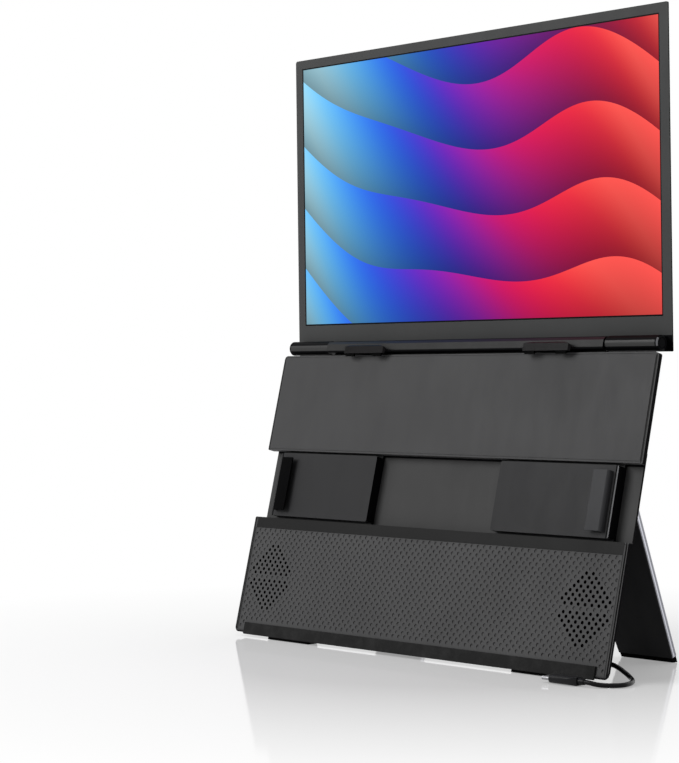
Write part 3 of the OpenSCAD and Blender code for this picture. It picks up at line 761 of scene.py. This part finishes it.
def dress_grille_cover():
    """Replaces the lower cover by one with dimples."""
    bm, sheet, dishes = grille_cover()
    mats = [COVER, SIDE_SHADE, FIELD_GREY, GROOVE_SHADE, LINE_DARK_SHADE, LINE_MID_SHADE, DISH_WALL_SHADE]
    mark_sharp(bm)
    for f in bm.faces:
        centre = f.calc_center_median()
        f.smooth = f not in sheet
        if f in sheet:
            finish = sheet_paint(centre)
        elif f in dishes:
            # steep dimple walls are painted darker as shade
            finish = DISH_WALL_SHADE if f.normal.y > -WALL_SLOPE else FIELD_GREY
        else:
            finish = cover_paint(centre, f.normal)
        f.material_index = mats.index(finish)
    piece("lower_cover", stored(bm, "lower_cover"), BASE, "lower_grille_cover", mats)


dress_grille_cover()

# ---------- the other pieces ----------

# painted highlight line down the upper cover's side edges, and how far it reaches round the
# corner
EDGE_IN, EDGE_BACK = 178.5, 1.15
# the arm channel's floor, and where the shadow line under the upper cover starts
CHANNEL_D, CHANNEL_LOW, CHANNEL_HIGH = 6, SLOT_LOW - 5, SLOT_HIGH + 9
CHANNEL_LINE = SLOT_HIGH - 1
# half-width of a hook's top, which its upper corners draw in to
HOOK_TOP, HOOK_SHOULDER = 15.5, HINGE_V - 0.6
# bores of the hinges stay sharp up to this distance from their axis
SHAFT_BORE, PIN_BORE = SHAFT_R + 0.6, PIN_R + 0.5
# slopes between which a hinge barrel is painted as lit, from facing down to facing up; above and
# below, it is painted black as shade
BARREL_LIT_SLOPES = (-0.32, 0.42)
# the painted highlight arc on the rim of a barrel's cap
ARC_FRONT, ARC_LOW, ARC_HIGH = BARREL_SET - 3.2, -1.5, 3.4
# normals of a cap's flat end and of the arms' ends point at least this far sideways
CAP_END, ARM_END = 0.95, 0.75
# width of the outer edge of an arm, beside its jaw, which carries a painted highlight on the
# right arm
ARM_EDGE = 1
# band of painted shade, in black, along the foot of the bezel
BAND_TOP = 5.0
# depths at which the stand's edge turns from its liner to lacquer, and its pale line of painted
# reflection
STAND_LINES = (-1.5, -0.5, 0.5)
# depths of the edges to round: in front of the first three, and behind the others
ARM_FRONT, BUMPER_FRONT, BEZEL_FRONT = 1, -0.5, GLASS_BACK + 0.05
BASE_BACK, SCREEN_BACK, STAND_BACK = BACK_T - 0.2, GLASS_BACK + SCREEN_T - 0.1, STAND_T / 2 - 0.1
# depth of the display's face, and height up to which the stand's edges are rounded
DISPLAY_FRONT, STAND_EYES = GLASS_BACK + 0.3, -4
# the upper cover's front edges are rounded where they are this close to its outline
COVER_FRONT, OUTLINE_REACH = 0.05, 0.6


def edge_paint(centre, normal):
    """Grey upper cover, with a line of painted shade down the front of its side edges, darker on
    the right, a painted highlight round the corner, and black sides as painted shade.
    """
    if abs(centre.x) <= EDGE_IN:
        return side_paint(centre, normal)
    if abs(normal.x) < MOSTLY and normal.y < -MOSTLY:
        return EDGE_LINE_SHADE if centre.x > 0 else LINE_MID_SHADE
    return COVER_EDGE_HIGHLIGHT if centre.y < EDGE_BACK else SIDE_SHADE


def rear_paint(centre, normal):
    """Grey channel with a painted shadow line under the upper cover, the sides painted black as
    shade, and the rear grey.
    """
    in_channel = centre.y > CHANNEL_D and CHANNEL_LOW < centre.z < CHANNEL_HIGH
    # the channel's top strip under the upper cover is painted black as that cover's shadow
    if in_channel and normal.y < -STRAIGHT:
        return SIDE_SHADE if centre.z > CHANNEL_LINE else CHANNEL
    return SIDE_SHADE if abs(normal.x) > MOSTLY and centre.y < BASE_BACK else REAR


def rail_paint(centre, normal):
    """The rail's top painted dark as shade, its grey front, and its underside and ends painted
    black as shade.
    """
    if normal.z > PARTLY:
        return RAIL_TOP_SHADE
    return SHADE_BLACK if normal.z < -PARTLY or abs(normal.x) > MOSTLY else RAIL


def barrel_paint(centre, normal):
    """A painted lit band along the front of the barrel, with painted shade in black above and
    below it.
    """
    return BARREL_LIT_BAND if normal.y < 0 and BARREL_LIT_SLOPES[0] < normal.z < BARREL_LIT_SLOPES[1] else SHADE_BLACK


def cap_paint(centre, normal):
    """Caps painted black as shade, with a painted highlight arc at the front of their rounded
    rim.
    """
    on_arc = centre.y < ARC_FRONT and ARC_LOW < centre.z < ARC_HIGH
    return CAP_HIGHLIGHT if on_arc and PARTLY < abs(normal.x) < CAP_END else SHADE_BLACK


def arm_paint(edge):
    """Makes the paint of an arm: grey, with its ends painted black as shade, and an edge of its
    own by the jaw, a painted highlight on the right arm.
    """
    def paint(centre, normal):
        if abs(normal.x) > ARM_END:
            return SHADE_BLACK
        return edge if abs(centre.x) > ARM_OUT - ARM_EDGE and normal.y < -PARTLY else SLIDER

    return paint


def stand_paint(centre, normal):
    """The stand's lined face, its lacquered back, and a pale line of painted reflection along the
    edge between them.
    """
    lined, pale_from, pale_to = STAND_LINES
    if centre.y < lined:
        return LINER
    return LACQUER_HIGHLIGHT if pale_from < centre.y < pale_to else LACQUER


def hook_taper(p):
    """Draws the upper corners of a hook further in."""
    from_middle = abs(p.x) - HOOK_X
    if p.z < HOOK_SHOULDER or abs(from_middle) < HOOK_TOP:
        return p
    return Vector((math.copysign(HOOK_X + math.copysign(HOOK_TOP, from_middle), p.x), p.y, p.z))


def on_front_outline(p):
    """Whether a point of the upper cover lies on the outer edge of its front."""
    at_side = BASE_X - abs(p.x) < OUTLINE_REACH
    at_end = p.z > BASE_TOP - OUTLINE_REACH or p.z < SLOT_HIGH + OUTLINE_REACH
    return p.y < COVER_FRONT and (at_side or at_end)


def clear_of(d, v, reach):
    """Makes a test of whether a point is further than `reach` from an axis along x."""
    return lambda p: math.hypot(p.y - d, p.z - v) > reach


dress("upper_front_cover", [COVER, SIDE_SHADE, EDGE_LINE_SHADE, COVER_EDGE_HIGHLIGHT, LINE_MID_SHADE], 0.3,
      pick=on_front_outline, paint=edge_paint, cuts=((0, (-EDGE_IN, EDGE_IN)), (1, (EDGE_BACK,))))
dress("rear_cover", [REAR, CHANNEL, SIDE_SHADE], 0.35,
      pick=lambda p: p.y > BASE_BACK, paint=rear_paint, cuts=((2, (CHANNEL_LINE,)),))
dress("trim_strip", [TRIM], 0.12)
dress("bumper_bar", [RUBBER], 0.45, pick=lambda p: p.y < BUMPER_FRONT)
dress("base_feet", [FOOT], 0.3)
dress("hinge_rail", [RAIL, RAIL_TOP_SHADE, SHADE_BLACK], 0.25,
      pick=clear_of(HINGE_D, HINGE_V, SHAFT_BORE), paint=rail_paint)
# the left jaw is painted darker than the right one as shade
for side, jaw_finish, arm_edge in (("left", JAW_SHADE, SLIDER), ("right", JAW, SLIDER_EDGE_HIGHLIGHT)):
    dress(side + "_hook", [HOOK], 0.4, shape=hook_taper)
    dress(side + "_hinge_barrel", [BARREL_LIT_BAND, SHADE_BLACK], 0.3, SCREEN,
          pick=clear_of(0, 0, SHAFT_BORE), paint=barrel_paint)
    # the right arm's outer front edge takes a painted highlight, and the left one stays grey
    dress(side + "_arm_slider", [SLIDER, SHADE_BLACK, arm_edge], 0.3,
          pick=lambda p: p.y < ARM_FRONT, paint=arm_paint(arm_edge))
    dress(side + "_jaw", [jaw_finish], 0.15)
    dress(side + "_jaw_pad", [RUBBER], 0.2)
dress("hook_pads", [FOOT], 0.2)
dress("barrel_end_caps", [SHADE_BLACK, CAP_HIGHLIGHT], 0.1, SCREEN, paint=cap_paint)
dress("stand_brackets", [REAR], 0.2, pick=clear_of(STAND_D, STAND_V, PIN_BORE))
dress("lead_gland", [REAR], 0.4)
dress("screen_back_cover", [REAR], 0.3, SCREEN, pick=lambda p: p.y > SCREEN_BACK)
# the bezel's sides and the band along its foot are painted black as shade
dress("screen_bezel", [BEZEL, SHADE_BLACK], 0.15, SCREEN, pick=lambda p: p.y < BEZEL_FRONT,
      paint=lambda c, n: SHADE_BLACK if abs(n.x) > MOSTLY or c.z < BAND_TOP else BEZEL,
      cuts=((2, (BAND_TOP,)),))
dress("display_panel", [LINER, DISPLAY], 0, SCREEN,
      paint=lambda c, n: DISPLAY if n.y < -STRAIGHT and c.y < DISPLAY_FRONT else LINER)
dress("stand_plate", [LACQUER, LACQUER_HIGHLIGHT, LINER], 0.5, STAND,
      pick=lambda p: p.y > STAND_BACK and p.z < STAND_EYES, paint=stand_paint,
      cuts=((1, STAND_LINES),))
dress("stand_liner", [LINER], 0.1, STAND)
dress("stand_feet", [FOOT], 0.3, STAND)
for button in ("power_button", "menu_up_button", "menu_down_button"):
    dress(button, [TRIM], 0.3)

# nodes whose solid is right as it is
AS_THEY_ARE = {
    STEEL: ("left_hinge_shaft", "right_hinge_shaft", "stand_pins", "rear_screws"),
    SPEAKER: ("left_speaker", "right_speaker"),
    CLOTH: ("grille_cloths",),
    BOARD: ("controller_board", "button_board", "display_board"),
    PLATED: ("usb_c_sockets", "mini_hdmi_socket", "plug_tongue"),
}
for mat, names in AS_THEY_ARE.items():
    for name in names:
        slots = nodes[name].data.materials
        slots.clear()
        slots.append(mat)

# ---------- floor, background and light: the room's lengths are in metres ----------

FLOOR_R, FLOOR_DROP = 6, 0.0002
# distances from the middle over which the floor fades, from its own white to the background's
FADE, FADE_FROM, FADE_TO = (0.3, 1), 0.18, 0.52
# level of the sky as a light, next to 1 where it is seen
SKY_LIGHT = 0.22


def floor_material():
    """White floor that keeps the shadow near the object and fades into the white background."""
    f = Finish("floor_white")
    far = f.add("VectorMath", {0: f.place}, operation="LENGTH").outputs["Value"]
    seen = f.rays("Is Camera Ray", "Is Glossy Ray")
    amount = f.calc("MULTIPLY", seen, f.spread(far, *FADE, FADE_FROM, FADE_TO))
    glow = f.add("Emission").outputs[0]
    mix = f.add("MixShader", {0: amount, 1: f.shader.outputs[0], 2: glow})
    f.feed(f.out, 0, mix.outputs[0])
    return f.done({
        "Base Color": (0.86, 0.86, 0.86),
        "Roughness": 0.07,
        "Specular IOR Level": 0.4,
    })


def lay_floor():
    """A wide round floor just under the object."""
    mesh = bpy.data.meshes.new("floor")
    bm = bmesh.new()
    bmesh.ops.create_circle(bm, cap_ends=True, segments=64, radius=FLOOR_R)
    bm.to_mesh(mesh)
    bm.free()
    mesh.materials.append(floor_material())
    floor = bpy.data.objects.new("floor", mesh)
    floor.location = (0, 0, -FLOOR_DROP)
    bpy.context.scene.collection.objects.link(floor)


def light_sky():
    """A sky that is white where it is seen, and lights the object more softly."""
    world = bpy.data.worlds.new("studio")
    bpy.context.scene.world = world
    world.use_nodes = True
    t = Tree(world.node_tree)
    seen = t.rays("Is Camera Ray", "Is Glossy Ray", "Is Transmission Ray")
    strength = t.spread(seen, SKY_LIGHT, 1, 0, 1)
    sky = t.add("Background", {"Color": (1, 1, 1), "Strength": strength})
    t.add("OutputWorld", {0: sky.outputs[0]})


def area_light(name, where, aim, size, power):
    """A rectangular lamp that faces a point."""
    data = bpy.data.lights.new(name, "AREA")
    data.shape = "RECTANGLE"
    data.size, data.size_y = size
    data.energy = power
    obj = bpy.data.objects.new(name, data)
    obj.location = where
    obj.rotation_euler = (Vector(aim) - Vector(where)).to_track_quat("-Z", "Y").to_euler()
    bpy.context.scene.collection.objects.link(obj)


lay_floor()
light_sky()
area_light("key", (-0.9, -1.6, 1.3), (0, 0, 0.2), (1.2, 1.2), 32)
area_light("top", (0.1, 0.2, 1.9), (0, 0, 0.1), (1.4, 1.0), 12)

bpy.context.scene.view_settings.view_transform = "Standard"
